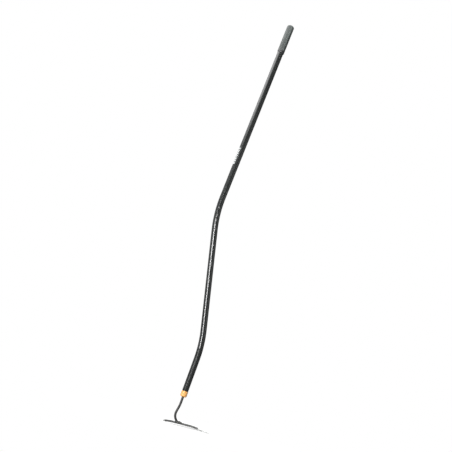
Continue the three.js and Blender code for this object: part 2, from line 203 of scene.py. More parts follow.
# ---------------------------------------------------------------- mesh helpers
def new_object(name, verts, faces, crease=40, attrs=None):
    """Smooth object facing outwards from points in mm, with edges sharp above crease degrees."""
    mesh = bpy.data.meshes.new(name)
    mesh.from_pydata([tuple(c * MM for c in v) for v in verts], [], faces)
    mesh.validate()
    for key, values in (attrs or {}).items():
        mesh.attributes.new(key, "FLOAT", "POINT").data.foreach_set("value", values)
    bm = bmesh.new()
    bm.from_mesh(mesh)
    bmesh.ops.recalc_face_normals(bm, faces=bm.faces)
    if bm.calc_volume(signed=True) < 0:
        bmesh.ops.reverse_faces(bm, faces=bm.faces)
    for face in bm.faces:
        face.smooth = True
    for edge in bm.edges:
        if len(edge.link_faces) == 2 and edge.calc_face_angle(0) > radians(crease):
            edge.smooth = False
    bm.to_mesh(mesh)
    bm.free()
    obj = bpy.data.objects.new(name, mesh)
    bpy.context.scene.collection.objects.link(obj)
    return obj


def angles(count):
    return [2 * pi * k / count for k in range(count)]


def ring_point(place, angle, radius):
    """A point round a station; angle 0 faces -Y and 90 degrees the +X side."""
    x, z, dir_x, dir_z = place[:4]
    side = radius * sin(angle)
    return (x + dir_z * side, -radius * cos(angle), z - dir_x * side)


def ring(place, radius, count):
    """A ring round a station; radius is a number or a function of the angle."""
    return [ring_point(place, a, radius(a) if callable(radius) else radius)
            for a in angles(count)]


def ring_attrs(runs, count):
    """Angle, and run along the axis in metres, of each point of equal rings."""
    return {"ang": [a for _ in runs for a in angles(count)],
            "run": [run * MM for run in runs for _ in range(count)]}


def shell(rings):
    """Closed surface through rings. One-point rings close the ends, else last joins first."""
    verts, index = [], []
    for points in rings:
        index.append(list(range(len(verts), len(verts) + len(points))))
        verts.extend(points)
    pairs = list(zip(index[:-1], index[1:]))
    if len(index[0]) > 1 and len(index[-1]) > 1:
        pairs.append((index[-1], index[0]))
    faces = []
    for a, b in pairs:
        if len(a) == 1 or len(b) == 1:
            tip, rim = (a[0], b) if len(a) == 1 else (b[0], a)
            faces += [(tip, rim[k], rim[(k + 1) % len(rim)]) for k in range(len(rim))]
        else:
            faces += band(a, b)
    return verts, faces


def band(a, b):
    """Quads between two rings of vertex numbers."""
    n = len(a)
    return [(a[k], a[(k + 1) % n], b[(k + 1) % n], b[k]) for k in range(n)]


def cover(obj, node, material):
    """Puts a finished piece in the place of a CAD node."""
    obj.data.materials.append(material)
    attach(obj, ROOT)
    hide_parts(node)


# ---------------------------------------------------------------- node helpers
class Graph:
    """A node tree. Its methods add nodes and return an output socket of the last one."""

    def __init__(self, owner, output_kind):
        owner.use_nodes = True
        self.tree = owner.node_tree
        self.tree.nodes.clear()
        self.out = self.node(output_kind)

    def put(self, socket, value):
        """Links an output socket, or sets a plain value; None leaves the default."""
        if value is None:
            return
        if hasattr(value, "is_output"):
            self.tree.links.new(value, socket)
        elif isinstance(value, tuple) and len(value) == 3 and socket.type == "RGBA":
            socket.default_value = (*value, 1)
        else:
            socket.default_value = value

    def node(self, kind, inputs=(), **props):
        """inputs is a dict by socket name or number, or a sequence in socket order."""
        node = self.tree.nodes.new(kind)
        for key, value in props.items():
            setattr(node, key, value)
        for key, value in inputs.items() if isinstance(inputs, dict) else enumerate(inputs):
            self.put(node.inputs[key], value)
        return node

    def make(self, kind, inputs=(), socket=0, **props):
        return self.node(kind, inputs, **props).outputs[socket]

    def math(self, operation, a, b=None, c=None):
        return self.make("ShaderNodeMath", (a, b, c), operation=operation)

    def times(self, value, by):
        return self.math("MULTIPLY", value, by)

    def lifted(self, base, mask, amount):
        """base + mask * amount"""
        return self.math("ADD", base, self.times(mask, by=amount))

    def remap(self, value, span, to=(0.0, 1.0), smooth=False):
        return self.make(
            "ShaderNodeMapRange",
            {"Value": value, "From Min": span[0], "From Max": span[1],
             "To Min": to[0], "To Max": to[1]},
            interpolation_type="SMOOTHSTEP" if smooth else "LINEAR")

    def spread(self, value, low, high):
        """low to high over the middle range of a noise."""
        return self.remap(value, span=(0.3, 0.7), to=(low, high))

    def window(self, value, low, high, soft):
        """1 between low and high, fading over soft on both sides."""
        return self.times(
            self.remap(value, span=(low - soft, low + soft), smooth=True),
            by=self.remap(value, span=(high - soft, high + soft), to=(1.0, 0.0), smooth=True))

    def mix(self, factor, low, high):
        """Colour from low to high."""
        return self.make("ShaderNodeMix", {0: factor, 6: low, 7: high}, 2, data_type="RGBA")

    def mix_value(self, factor, low, high):
        return self.make("ShaderNodeMix", {0: factor, 2: low, 3: high}, data_type="FLOAT")

    def tint(self, base, colour, mask, strength):
        return self.mix(self.times(mask, by=strength), base, colour)

    def is_camera_ray(self):
        return self.make("ShaderNodeLightPath", socket="Is Camera Ray")


class Surface(Graph):
    """A material with one Principled shader."""

    def __init__(self, name):
        self.material = bpy.data.materials.new(name)
        super().__init__(self.material, "ShaderNodeOutputMaterial")
        self.shader = self.node("ShaderNodeBsdfPrincipled")
        self.put(self.out.inputs[0], self.shader.outputs[0])

    def finish(self, **values):
        for key, value in values.items():
            self.put(self.shader.inputs[key.replace("_", " ")], value)
        return self.material

    def coord(self):
        return self.make("ShaderNodeTexCoord", socket="Object")

    def attr(self, name):
        return self.make("ShaderNodeAttribute", socket="Fac", attribute_name=name)

    def mapping(self, vector, scale, spin=0.0):
        """Scales the coordinates; spin turns them about Z, in radians."""
        return self.make("ShaderNodeMapping",
                         {"Vector": vector, "Scale": scale, "Rotation": (0, 0, spin)})

    def noise(self, vector, scale, detail=2.0, rough=0.5):
        return self.make(
            "ShaderNodeTexNoise",
            {"Vector": vector, "Scale": scale, "Detail": detail, "Roughness": rough}, "Fac")

    def patches(self, vector, scale, detail, rough, span, to=(0.0, 1.0)):
        """Noise remapped from span, which picks out patches when narrow."""
        return self.remap(self.noise(vector, scale, detail, rough), span, to)

    def cells(self, vector, scale):
        return self.make("ShaderNodeTexVoronoi", {"Vector": vector, "Scale": scale},
                         "Distance", feature="SMOOTH_F1")

    def bump(self, height, depth, strength, under=None):
        """depth in metres; under is the normal this bump is laid over."""
        return self.make(
            "ShaderNodeBump",
            {"Strength": strength, "Distance": depth, "Height": height, "Normal": under})


# ---------------------------------------------------------------- materials
def printed_bars(mat, ang, run, start):
    """Mask of a row of plain bars along the tube; start in metres, angles in radians."""
    centre, half_width = 5.34, 0.33
    length, count, duty = 0.066, 7.0, 0.74        # duty: share of the pitch each bar fills
    inside = mat.window(run, low=start, high=start + length * 0.975, soft=0.0002)
    across = mat.window(ang, low=centre - half_width, high=centre + half_width, soft=0.02)
    pitches = mat.times(mat.math("SUBTRACT", run, start), by=count / length)
    bar = mat.remap(mat.math("FRACT", pitches), span=(duty, duty + 0.03), to=(1.0, 0.0))
    return mat.times(mat.times(inside, by=across), by=bar)


def powder_coat(print_start):
    """Near-black coat of the tube."""
    mat = Surface("powder_coat")
    pos = mat.coord()
    ang, run = mat.attr("ang"), mat.attr("run")
    blotch = mat.noise(pos, scale=16.0, detail=4.0, rough=0.55)
    peel = mat.noise(pos, scale=620.0)
    fine = mat.noise(pos, scale=2600.0, rough=0.6)
    # long hair scratches run mostly along the tube
    rubbed = mat.make("ShaderNodeCombineXYZ",
                      (mat.times(ang, by=60.0), mat.times(run, by=9.0), 0.0))
    hair = mat.patches(rubbed, scale=1.0, detail=5.0, rough=0.7, span=(0.66, 0.78))
    handled = mat.noise(pos, scale=7.0)
    base = mat.mix(blotch, low=(0.0080, 0.0090, 0.0088), high=(0.0120, 0.0133, 0.0130))
    base = mat.tint(base, (0.10, 0.105, 0.105), mask=hair, strength=0.10)
    dust = mat.patches(pos, scale=55.0, detail=6.0, rough=0.7, span=(0.55, 0.8))
    base = mat.tint(base, (0.16, 0.155, 0.145), mask=dust, strength=0.05)
    # pale printed bars, lightly worn
    bars = printed_bars(mat, ang, run, print_start)
    worn = mat.patches(pos, scale=900.0, detail=3.0, rough=0.7, span=(0.30, 0.42))
    bars = mat.times(bars, by=mat.times(worn, by=0.92))
    base = mat.mix(bars, base, (0.34, 0.35, 0.35))
    rough = mat.lifted(mat.spread(blotch, low=0.15, high=0.18), hair, amount=0.06)
    rough = mat.lifted(rough, handled, amount=0.05)
    # the lowest part of the tube is dulled by soil and handling
    dull = mat.remap(run, span=(0.157, 0.167), to=(1.0, 0.0), smooth=True)
    rough = mat.lifted(rough, dull, amount=0.17)
    rough = mat.mix_value(rough_mask := bars, low=rough, high=0.45)
    normal = mat.bump(peel, depth=0.00003, strength=0.25)
    normal = mat.bump(fine, depth=0.000004, strength=0.5, under=normal)
    normal = mat.bump(mat.lifted(rough_mask, hair, amount=-0.5), depth=0.00001, strength=0.6,
                      under=normal)
    return mat.finish(Base_Color=base, Roughness=rough, Normal=normal, IOR=1.5,
                      Specular_IOR_Level=mat.mix_value(dull, low=0.5, high=0.17))


def soft_grip():
    """Grey-green rubber of the grip."""
    mat = Surface("soft_grip")
    pos = mat.coord()
    ang, run = mat.attr("ang"), mat.attr("run")
    blotch = mat.noise(pos, scale=34.0, detail=5.0, rough=0.6)
    grain = mat.noise(pos, scale=2300.0, detail=3.0, rough=0.65)
    pebble = mat.cells(pos, scale=1500.0)
    base = mat.mix(blotch, low=(0.0355, 0.0420, 0.0400), high=(0.0460, 0.0537, 0.0513))
    # painted shade: darker towards the lower rim
    lower_shade = mat.remap(run, span=(0.022, 0.078), to=(0.62, 0.0), smooth=True)
    base = mat.mix(lower_shade, base, (0.017, 0.020, 0.019))
    # painted highlight: a paler line on the -Y side, a little towards +X, where a highlight falls,
    # and the same line on the +Y side
    side = mat.math("ADD", mat.window(ang, low=0.22, high=0.56, soft=0.09),
                    mat.window(ang, low=2.58, high=2.92, soft=0.09))
    side = mat.times(side, by=mat.patches(pos, scale=130.0, detail=4.0, rough=0.6,
                                          span=(0.30, 0.60), to=(0.35, 1.0)))
    base = mat.tint(base, (0.084, 0.097, 0.093), mask=side, strength=0.55)
    # painted shade in the grooves, which are coloured darker
    base = mat.tint(base, (0.030, 0.035, 0.033), mask=mat.attr("groove"), strength=0.55)
    rub = mat.patches(pos, scale=60.0, detail=5.0, rough=0.7, span=(0.5, 0.75))
    base = mat.tint(base, (0.14, 0.15, 0.145), mask=rub, strength=0.18)
    normal = mat.bump(pebble, depth=0.00004, strength=0.45)
    normal = mat.bump(grain, depth=0.00002, strength=0.5, under=normal)
    return mat.finish(Base_Color=base, Roughness=mat.spread(blotch, low=0.44, high=0.58),
                      Normal=normal, Specular_IOR_Level=0.39, Sheen_Weight=0.03,
                      Sheen_Roughness=0.5, Sheen_Tint=(0.7, 0.72, 0.7))


def black_plastic():
    """Black plastic of the collar and the end plug."""
    mat = Surface("black_plastic")
    pos = mat.coord()
    blotch = mat.noise(pos, scale=40.0, detail=4.0, rough=0.6)
    spark = mat.noise(pos, scale=3200.0, rough=0.6)
    base = mat.mix(blotch, low=(0.010, 0.010, 0.011), high=(0.018, 0.018, 0.019))
    scuff = mat.patches(pos, scale=420.0, detail=6.0, rough=0.75, span=(0.62, 0.75))
    base = mat.tint(base, (0.07, 0.07, 0.072), mask=scuff, strength=0.25)
    return mat.finish(Base_Color=base, Roughness=mat.spread(blotch, low=0.36, high=0.5),
                      Normal=mat.bump(spark, depth=0.00004, strength=0.6))


def amber_plastic():
    """Amber plastic of the ferrule, with flow streaks, painted shade in brown blotches, and scuffs.
    """
    mat = Surface("amber_plastic")
    pos = mat.coord()
    blotch = mat.noise(pos, scale=60.0, detail=4.0, rough=0.6)
    grain = mat.noise(pos, scale=2400.0, detail=3.0, rough=0.6)
    base = mat.mix(blotch, low=(0.470, 0.226, 0.060), high=(0.560, 0.278, 0.080))
    flow = mat.patches(mat.mapping(pos, scale=(220.0, 220.0, 40.0)), scale=1.0, detail=3.0,
                       rough=0.6, span=(0.45, 0.7), to=(0.0, 0.16))
    base = mat.mix(flow, base, (0.76, 0.440, 0.170))
    # painted shade round the foot, in the groove and under the tube, broken into brown blotches
    painted_shade = mat.times(mat.attr("painted_shade"), by=mat.patches(pos, scale=700.0, detail=5.0, rough=0.7,
                                                      span=(0.35, 0.62)))
    base = mat.tint(base, (0.12, 0.075, 0.035), mask=painted_shade, strength=0.7)
    scuff = mat.patches(pos, scale=500.0, detail=6.0, rough=0.75, span=(0.6, 0.74))
    scuff = mat.times(scuff, by=0.3)
    base = mat.mix(scuff, base, (0.86, 0.60, 0.34))
    rough = mat.lifted(mat.spread(blotch, low=0.30, high=0.40), scuff, amount=0.5)
    return mat.finish(Base_Color=base, Roughness=rough,
                      Normal=mat.bump(grain, depth=0.00003, strength=0.5),
                      Subsurface_Weight=0.12, Subsurface_Radius=(0.004, 0.002, 0.0008),
                      Subsurface_Scale=0.5)


def bare_steel(mat, pos, scale_xz, scale_y):
    """Colour and grind lines of bare steel."""
    lines = mat.noise(mat.mapping(pos, scale=(scale_xz, scale_y, scale_xz)), scale=1.0,
                      detail=6.0, rough=0.72)
    cloud = mat.noise(pos, scale=70.0, detail=4.0, rough=0.6)
    colour = mat.mix(cloud, low=(0.56, 0.565, 0.56), high=(0.72, 0.72, 0.71))
    darker = mat.remap(lines, span=(0.35, 0.75), to=(0.0, 0.35))
    return mat.mix(darker, colour, (0.38, 0.38, 0.375)), lines


def coated_steel(name, bare_from=None):
    """Dark coat over steel; bare_from is the x in metres past which the steel is ground bright."""
    mat = Surface(name)
    pos = mat.coord()
    blotch = mat.noise(pos, scale=45.0, detail=5.0, rough=0.6)
    forge = mat.noise(pos, scale=240.0, detail=4.0, rough=0.55)
    pit = mat.remap(mat.cells(pos, scale=420.0), span=(0.0, 0.35))
    fine = mat.noise(pos, scale=2800.0, rough=0.6)
    coat = mat.mix(blotch, low=(0.014, 0.0145, 0.0140), high=(0.026, 0.0265, 0.0250))
    # two crossing sets of scratches
    scratch = mat.math(
        "MAXIMUM",
        mat.patches(mat.mapping(pos, scale=(70.0, 900.0, 900.0), spin=0.22), scale=1.0,
                    detail=5.0, rough=0.75, span=(0.665, 0.70)),
        mat.patches(mat.mapping(pos, scale=(900.0, 60.0, 900.0), spin=-0.5), scale=1.0,
                    detail=5.0, rough=0.75, span=(0.69, 0.72)))
    steel, lines = bare_steel(mat, pos, scale_xz=2600.0, scale_y=55.0)
    if bare_from is None:
        bare = mat.times(scratch, by=0.35)
    else:
        # ragged grind line and chipped edges
        x = mat.make("ShaderNodeSeparateXYZ", (pos,))
        ragged = mat.math("SUBTRACT", mat.noise(pos, scale=260.0, detail=5.0, rough=0.65), 0.5)
        ground = mat.remap(mat.lifted(x, ragged, amount=0.0045),
                           span=(bare_from - 0.0003, bare_from + 0.0003))
        chip = mat.patches(pos, scale=480.0, detail=5.0, rough=0.7, span=(0.36, 0.48))
        edge = mat.times(mat.remap(mat.attr("edge"), span=(0.35, 0.75)), by=chip)
        worn = mat.math("MAXIMUM", edge, mat.times(scratch, by=0.5))
        bare = mat.math("MAXIMUM", ground, worn)
    colour = mat.mix(bare, coat, steel)
    dust = mat.patches(pos, scale=90.0, detail=6.0, rough=0.7, span=(0.55, 0.78))
    colour = mat.tint(colour, (0.22, 0.19, 0.15), mask=dust, strength=0.10)
    rough = mat.mix_value(bare, low=mat.spread(blotch, low=0.46, high=0.60),
                          high=mat.spread(lines, low=0.24, high=0.38))
    normal = mat.bump(forge, depth=0.00012, strength=0.45)
    normal = mat.bump(pit, depth=0.00003, strength=0.3, under=normal)
    normal = mat.bump(fine, depth=0.000012, strength=0.5, under=normal)
    normal = mat.bump(mat.times(lines, by=bare), depth=0.00004, strength=0.55, under=normal)
    normal = mat.bump(bare, depth=-0.00003, strength=0.6, under=normal)
    return mat.finish(Base_Color=colour, Metallic=mat.times(bare, by=0.96), Roughness=rough,
                      Normal=normal, Specular_IOR_Level=0.3)


def weld_metal():
    mat = Surface("weld_metal")
    pos = mat.coord()
    blotch = mat.noise(pos, scale=300.0, detail=4.0, rough=0.6)
    fine = mat.noise(pos, scale=2500.0, detail=3.0, rough=0.6)
    base = mat.mix(blotch, low=(0.018, 0.018, 0.0175), high=(0.036, 0.035, 0.033))
    burn = mat.patches(pos, scale=150.0, detail=3.0, rough=0.6, span=(0.5, 0.7))
    base = mat.tint(base, (0.060, 0.048, 0.037), mask=burn, strength=0.25)
    return mat.finish(Base_Color=base, Metallic=0.05, Specular_IOR_Level=0.36,
                      Roughness=mat.spread(blotch, low=0.42, high=0.56),
                      Normal=mat.bump(fine, depth=0.00004, strength=0.6))


def bright_steel():
    mat = Surface("spring_steel")
    colour, lines = bare_steel(mat, mat.coord(), scale_xz=2400.0, scale_y=2400.0)
    return mat.finish(Base_Color=colour, Metallic=0.95,
                      Roughness=mat.spread(lines, low=0.25, high=0.4),
                      Normal=mat.bump(lines, depth=0.00002, strength=0.5))


def natural_plastic():
    """Uncoloured plastic of the tang bushing."""
    mat = Surface("natural_plastic")
    pos = mat.coord()
    blotch = mat.noise(pos, scale=80.0, detail=4.0, rough=0.6)
    grain = mat.noise(pos, scale=2200.0, rough=0.6)
    return mat.finish(Base_Color=mat.mix(blotch, low=(0.56, 0.52, 0.44), high=(0.66, 0.62, 0.54)),
                      Roughness=mat.spread(blotch, low=0.45, high=0.6),
                      Normal=mat.bump(grain, depth=0.00003, strength=0.5),
                      Subsurface_Weight=0.15, Subsurface_Radius=(0.004, 0.003, 0.002),
                      Subsurface_Scale=0.5)


# ---------------------------------------------------------------- handle axis
low_dir = leaning(LOW_LEAN)
top_dir = leaning(TOP_LEAN)
ferrule_foot = (BEND_LOW[0] + (FERRULE_FOOT_Z - BEND_LOW[1]) * low_dir[0] / low_dir[1],
                FERRULE_FOOT_Z)
tube_foot = along(ferrule_foot, low_dir, FERRULE_LEN)
grip_tip = along(BEND_HIGH, top_dir, TIP_LENGTH)
grip_rim = along(grip_tip, top_dir, -GRIP_LEN)
tube_top = along(grip_tip, top_dir, -TUBE_TOP_BELOW_TIP)

# the frame must be the part these numbers describe
box_lo, box_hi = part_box("handle_tube")
assert abs(box_lo.z / MM - (tube_foot[1] - TUBE_R * low_dir[0])) < 1.5, box_lo
box_lo, box_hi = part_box("head_plate")
assert abs(box_lo.x / MM - HEAD_REAR) < 1.0 and abs(box_hi.x / MM - HEAD_FRONT) < 1.0

# ---------------------------------------------------------------- handle tube
handle_line = filleted([(*tube_foot, 0), (*BEND_LOW, BEND_R), (*BEND_HIGH, BEND_R), (*tube_top, 0)],
                       arc_step=4.0, line_step=24.0)
# the printed bars start 8.5 mm along from the first station above this height
PRINT_ABOVE_Z = 939
print_start = next(s[4] for s in handle_line if s[1] > PRINT_ABOVE_Z) * MM + 0.0085


def tube_mesh():
    count, lip, lip_steps = 96, 0.35, 4
    outer_r, inner_r = TUBE_R - 0.03, TUBE_R - TUBE_WALL
    first, *middle, last = handle_line
    quarter = [k / lip_steps * pi / 2 for k in range(lip_steps + 1)]
    # (station, radius, run): up the outside, then down the bore
    sections = [(station(first[:2], first[2:4], lip * (1 - cos(a))),
                 outer_r - lip + lip * sin(a), 0.0) for a in quarter]
    sections += [(s, outer_r, s[4]) for s in middle]
    sections += [(station(last[:2], last[2:4], -lip + lip * sin(a)),
                  outer_r - lip + lip * cos(a), last[4]) for a in quarter]
    sections += [(s, inner_r, s[4]) for s in (last, *reversed(middle))]
    sections.append((first, inner_r, 0.0))
    verts, faces = shell([ring(place, radius, count) for place, radius, _ in sections])
    return new_object("handle_tube_skin", verts, faces,
                      attrs=ring_attrs([run for *_, run in sections], count))


cover(tube_mesh(), "handle_tube", powder_coat(print_start))


# ---------------------------------------------------------------- grip
def groove(angle, height):
    """Share of full depth of the fine lengthwise grooves, fading out near both ends."""
    fade = clamp((height - 13.0) / 7.0) * clamp((GRIP_LEN - 9.0 - height) / 8.0)
    fade = fade * fade * (3 - 2 * fade)
    return fade * (0.5 + 0.5 * cos(GROOVES * angle)) ** 2.2


def flat_depth(angle, height):
    """Depth of the six soft flats; they run out to round just above the lower rim."""
    fade = clamp((height - COLLAR_LEN - 1.0) / 8.0)
    return fade * GRIP_FLAT * (0.5 + 0.5 * cos(6 * angle))


def grip_mesh():
    bore = TUBE_R + GAP
    rim = COLLAR_LEN + GAP
    dome_at = GRIP_LEN - GRIP_DOME
    ceiling = GRIP_LEN - TUBE_TOP_BELOW_TIP + 2.6 + GAP
    count = GROOVES * 14
    # (radius, height): inner ceiling, lower rim, outside, dome
    profile = [(0.0, ceiling), (bore * 0.5, ceiling), (bore, ceiling), (bore, rim)]
    plain = len(profile)          # rings without flats or grooves
    profile += [(GRIP_R - 0.5, rim), (GRIP_R - 0.15, rim + 0.15)]
    profile += [(GRIP_R, rim + up) for up in (0.5, 1.7, 2.9)]
    height = rim + 3.6
    while height < dome_at - 0.5:
        profile.append((GRIP_R, height))
        height += 1.1
    for k in range(18):
        turn = k / 18 * pi / 2
        profile.append((GRIP_R * cos(turn), dome_at + (GRIP_DOME - 0.1) * sin(turn)))
    profile.append((0.0, dome_at + GRIP_DOME - 0.1))

    rings, grooves, ang, run = [], [], [], []
    for k, (radius, height) in enumerate(profile):
        place = station(grip_rim, top_dir, height)
        points = []
        for angle in angles(count) if radius else [0.0]:
            share = depth = 0.0
            if k >= plain:
                share = groove(angle, height)
                depth = (flat_depth(angle, height) + GROOVE_DEPTH * share) * radius / GRIP_R
            points.append(ring_point(place, angle, radius - depth))
            grooves.append(share)
            ang.append(angle)
            run.append(height * MM)
        rings.append(points)
    verts, faces = shell(rings)
    return new_object("grip_sleeve_skin", verts, faces, crease=50,
                      attrs={"groove": grooves, "ang": ang, "run": run})


cover(grip_mesh(), "grip_sleeve", soft_grip())


def collar_mesh():
    bore, count = TUBE_R + GAP, 128
    slope = tan(radians(COLLAR_SKEW))
    # (radius, height, squareness): 0 follows the slanted lower rim, lowest at +X; 1 is level
    profile = [
        (bore, 0.35, 0), (bore + 0.25, 0.0, 0), (GRIP_R - 0.55, 0.0, 0),
        (GRIP_R - 0.2, 0.14, 0), (GRIP_R, 0.5, 0), (GRIP_R, 1.6, 0.15),
        (GRIP_R - 0.28, 1.95, 0.2), (GRIP_R - 0.28, 2.25, 0.22), (GRIP_R, 2.6, 0.25),
        (GRIP_R, 4.5, 0.5), (GRIP_R, 6.4, 0.8), (GRIP_R, COLLAR_LEN - 0.5, 1),
        (GRIP_R - 0.12, COLLAR_LEN - 0.15, 1), (GRIP_R - 0.45, COLLAR_LEN, 1),
        (bore, COLLAR_LEN, 1)]
    rings, ang, run = [], [], []
    for radius, level, square in profile:
        points = []
        for angle in angles(count):
            height = level - (1 - square) * slope * GRIP_R * sin(angle)
            points.append(ring_point(station(grip_rim, top_dir, height), angle, radius))
            ang.append(angle)
            run.append(height * MM)
        rings.append(points)
    verts, faces = shell(rings)
    return new_object("grip_collar_skin", verts, faces, attrs={"ang": ang, "run": run})


plastic = black_plastic()
cover(collar_mesh(), "grip_collar", plastic)


# ---------------------------------------------------------------- ferrule
def ferrule_mesh():
    count = 180
    bore = ROD_R + GAP
    spigot_r = TUBE_R - TUBE_WALL - GAP
    shoulder = FERRULE_LEN - GAP
    top = FERRULE_LEN + SPIGOT
    # (radius, height): foot, fillet, side with a shallow groove, shoulder, spigot
    profile = [(bore, 1.0), (bore + 0.15, 0.45), (bore + 0.6, 0.1), (bore + 1.1, 0.0)]
    profile += arc((FERRULE_R - FERRULE_FILLET, FERRULE_FILLET), FERRULE_FILLET, -90, 0, 22)
    profile += [(FERRULE_R, 8.0), (FERRULE_R, 13.6), (FERRULE_R - 0.10, 13.8),
                (FERRULE_R - 0.28, 14.1), (FERRULE_R - 0.28, 14.7), (FERRULE_R - 0.10, 15.0),
                (FERRULE_R, 15.2), (FERRULE_R, 18.0)]
    profile += arc((FERRULE_R - 0.7, shoulder - 0.7), 0.7, 0, 90, 6)
    profile += [(spigot_r, shoulder), (spigot_r, top - 1), (spigot_r - 1, top), (bore, top)]

    def seamed(radius, height, angle):
        """Radius with a fine moulding line on the -X and +X sides."""
        if 1.5 < height < 20.0 and radius > 8:
            off = min(abs(remainder(angle - pi * 0.5, pi)), 1.0)
            return radius + 0.07 * exp(-(off / 0.022) ** 2)
        return radius

    rings = [ring(station(ferrule_foot, low_dir, height),
                  lambda angle, r=radius, h=height: seamed(r, h, angle), count)
             for radius, height in profile]
    attrs = ring_attrs([height for _, height in profile], count)
    # painted shade in brown blotches round the bore, in the shallow groove and under the tube;
    # heights in single precision, as the run attribute holds them
    attrs["painted_shade"] = [clamp(1 - h / 0.0012) * 0.9 + clamp(1 - abs(h - 0.0144) / 0.0006) * 0.6
                     + clamp(1 - abs(h - 0.0213) / 0.0006)
                     for h in np.array(attrs["run"], dtype=np.float32).tolist()]
    verts, faces = shell(rings)
    return new_object("ferrule_skin", verts, faces, attrs=attrs)


cover(ferrule_mesh(), "ferrule", amber_plastic())

# ---------------------------------------------------------------- neck rod
neck_dir = leaning(NECK_LEAN)
foot_dir = (sin(radians(FOOT_ANGLE)), -cos(radians(FOOT_ANGLE)))
bend_x = NECK_VERTICAL[0] + NECK_R      # centre of the neck bend, level with NECK_VERTICAL
bend_top = (bend_x - NECK_R * neck_dir[1], NECK_VERTICAL[1] + NECK_R * neck_dir[0])
bend_foot = (bend_x - NECK_R * cos(radians(FOOT_ANGLE)),
             NECK_VERTICAL[1] - NECK_R * sin(radians(FOOT_ANGLE)))
# the knee is where the handle axis meets the neck's straight run
low_slope, neck_slope = low_dir[0] / low_dir[1], neck_dir[0] / neck_dir[1]
knee_z = ((bend_top[0] - neck_slope * bend_top[1] - ferrule_foot[0] + low_slope * ferrule_foot[1])
          / (low_slope - neck_slope))
knee = (ferrule_foot[0] + low_slope * (knee_z - ferrule_foot[1]), knee_z)
bend_corner = along(bend_top, neck_dir, -NECK_R * tan(radians(NECK_LEAN + FOOT_ANGLE) / 2))
neck_line = filleted([(*along(ferrule_foot, low_dir, TANG_REACH), 0), (*knee, KNEE_R),
                      (*bend_corner, NECK_R), (*along(bend_foot, foot_dir, 12), 0)],
                     arc_step=1.0, line_step=2.0)
plate_top = PLATE + GAP                 # the rod and the weld stop here


def rod_x(z):
    """Where the axis of the rod's foot crosses a height."""
    return bend_foot[0] + foot_dir[0] * (bend_foot[1] - z) / cos(radians(FOOT_ANGLE))


def neck_mesh():
    count, chamfer = 64, 0.8
    top = neck_line[0]
    rings, runs = [], []
    for k in range(5):
        step = chamfer * k / 4
        rings.append(ring(station(top[:2], top[2:4], step), ROD_R - chamfer + step, count))
        runs.append(step)
    for place in neck_line[1:]:
        def uneven(angle, run=place[4]):
            spot = Vector((cos(angle) * 1.3, sin(angle) * 1.3, run * 0.09))
            return ROD_R + 0.05 * (noise.noise(spot) - 0.35)

        rings.append(ring(place, uneven, count))
        runs.append(place[4])
        if all(point[2] < plate_top - 1e-3 for point in rings[-1]):
            break
    last = rings[-1]
    low_tip = (sum(p[0] for p in last) / count, 0.0, sum(p[2] for p in last) / count)
    verts, faces = shell([[(top[0], 0.0, top[1])], *rings, [low_tip]])
    attrs = {key: [0.0, *values, 0.0] for key, values in ring_attrs(runs, count).items()}
    obj = new_object("neck_rod_skin", verts, faces, attrs=attrs)
    # cut level with the plate and close the foot with one flat face
    bm = bmesh.new()
    bm.from_mesh(obj.data)
    bmesh.ops.bisect_plane(bm, geom=bm.verts[:] + bm.edges[:] + bm.faces[:], dist=1e-7,
                           plane_co=(0.0, 0.0, plate_top * MM), plane_no=(0.0, 0.0, -1.0),
                           clear_outer=True)
    rim = [edge for edge in bm.edges if len(edge.link_faces) == 1]
    for face in bmesh.ops.holes_fill(bm, edges=rim, sides=0)["faces"]:
        face.smooth = False
    for edge in rim:
        edge.smooth = False
    bmesh.ops.recalc_face_normals(bm, faces=bm.faces)
    bm.to_mesh(obj.data)
    bm.free()
    return obj


cover(neck_mesh(), "neck_rod", coated_steel("neck_coat"))


# ---------------------------------------------------------------- head plate
def underside(x):
    """Height of the plate's lower face, level in the middle and falling to both ends."""
    if x < FLAT_REAR:
        return -(x - FLAT_REAR) ** 2 / REAR_CURVE
    if x > BLADE_STRAIGHT:
        return -((BLADE_STRAIGHT - FLAT_FRONT) ** 2 / FRONT_CURVE
                 + BLADE_SLOPE * (x - BLADE_STRAIGHT))
    if x > FLAT_FRONT:
        return -(x - FLAT_FRONT) ** 2 / FRONT_CURVE
    return 0.0


def thickness(x):
    if x > GRIND_START:
        ground = min(1.0, (x - GRIND_START) / (HEAD_FRONT - GRIND_START))
        return PLATE + (EDGE_T - PLATE) * ground
    return PLATE


def upside(x):
    return underside(x) + thickness(x)


def head_outline():
    """Outline seen from above, anticlockwise from the middle of the front edge."""
    front, rear, blade, tine = HEAD_FRONT, HEAD_REAR, BLADE_HALF, TINE_HALF
    outline = [(front, 0.0)]
    # (curve, its points after the current one, steps) round the +Y half
    for curve, *points, steps in (
            (quadratic, (front - 0.2, blade - 18), (front - 1.4, blade - 4), 26),
            (quadratic, (front - 1.8, blade), (front - 6, blade), 10),
            (line, (34, blade - 0.6), 48),
            (cubic, (24, blade - 0.9), (18, blade - 5), (8, blade - 6), 20),
            (cubic, (-8, blade - 6.4), (-20, tine - 2.4), (rear + 8, tine - 0.6), 36),
            # end of the tine
            (quadratic, (rear + 1, tine), (rear, tine - 3.6), 9),
            (quadratic, (rear + 0.5, tine - 7.4), (rear + 6, tine - 8.6), 11),
            # notch
            (line, (-24, 21.2), 18),
            (cubic, (-17.5, 20.3), (-17.5, 13.3), (-24, 12.4), 20),
            (line, (rear + 6, 5.6), 18),
            (quadratic, (rear + 0.4, 4.6), (rear, 0.0), 11)):
        outline += curve(outline[-1], *points, steps)
    return outline + [(x, -y) for x, y in reversed(outline[1:-1])]


